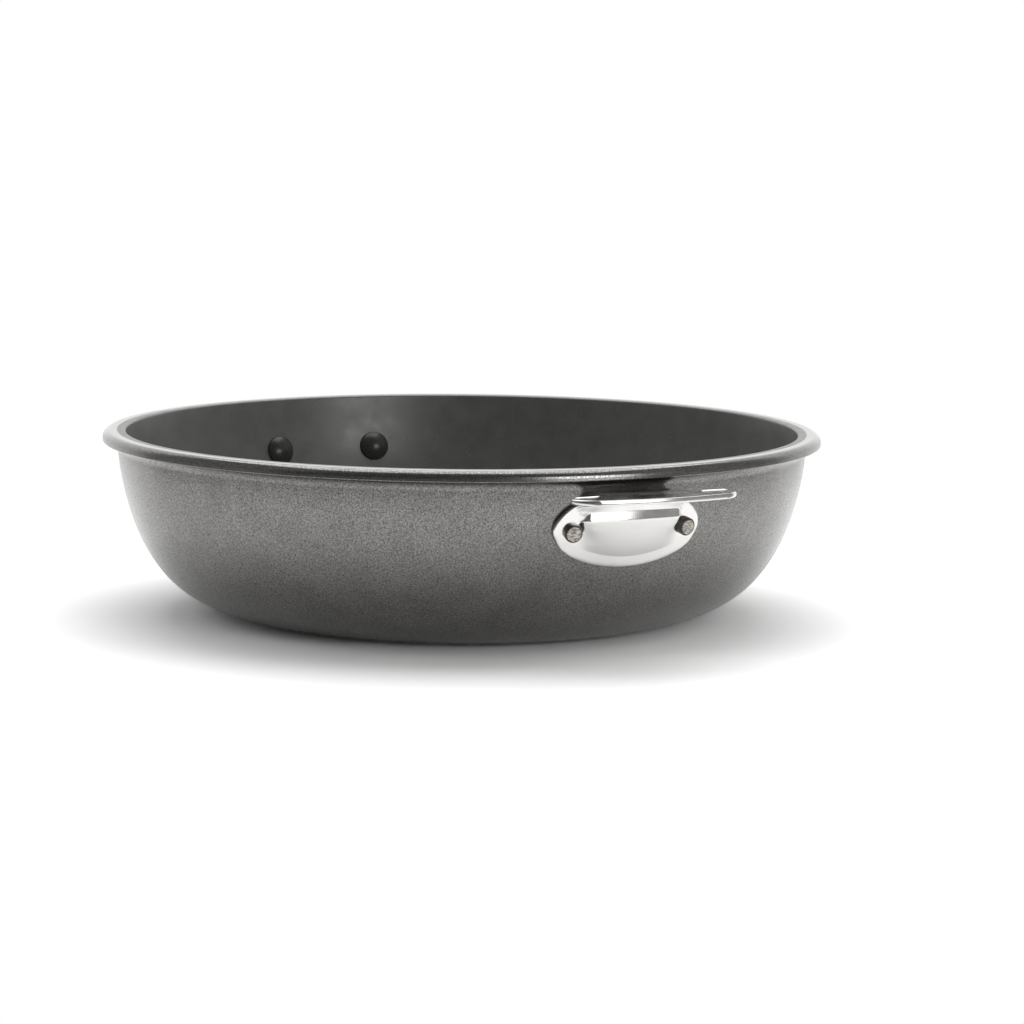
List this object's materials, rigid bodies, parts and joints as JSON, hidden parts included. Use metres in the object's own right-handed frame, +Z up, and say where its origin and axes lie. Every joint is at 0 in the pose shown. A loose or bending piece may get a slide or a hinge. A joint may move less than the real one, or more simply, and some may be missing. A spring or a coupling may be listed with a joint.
{
  "type": "deep saute pan",
  "caption": "Deep round saute pan with a flat outward lip, dark non-stick coating and a short wing-shaped stamped steel handle riveted to each side.",
  "frame": {"origin": "centre of the flat underside of the base, which is the bottom centre of the bounding box", "axes": "+Z up along the pan's axis, +X through the middle of one handle to the middle of the other, +Y to the rear"},
  "size_m": [0.3664, 0.32, 0.081],
  "materials": {
    "coated_aluminium": "dark grey satin non-stick coating over pressed aluminium, inside and outside",
    "polished_stainless": "stamped stainless sheet with a soft polish",
    "rivet_steel": "plain turned steel outside, dark coated dome inside the pan"
  },
  "bodies": {
    "root": {"pan_body": "coated_aluminium", "handle_right": "polished_stainless", "handle_left": "polished_stainless", "rivet_right_front": "rivet_steel", "rivet_right_rear": "rivet_steel", "rivet_left_front": "rivet_steel", "rivet_left_rear": "rivet_steel"}
  },
  "joints": []
}
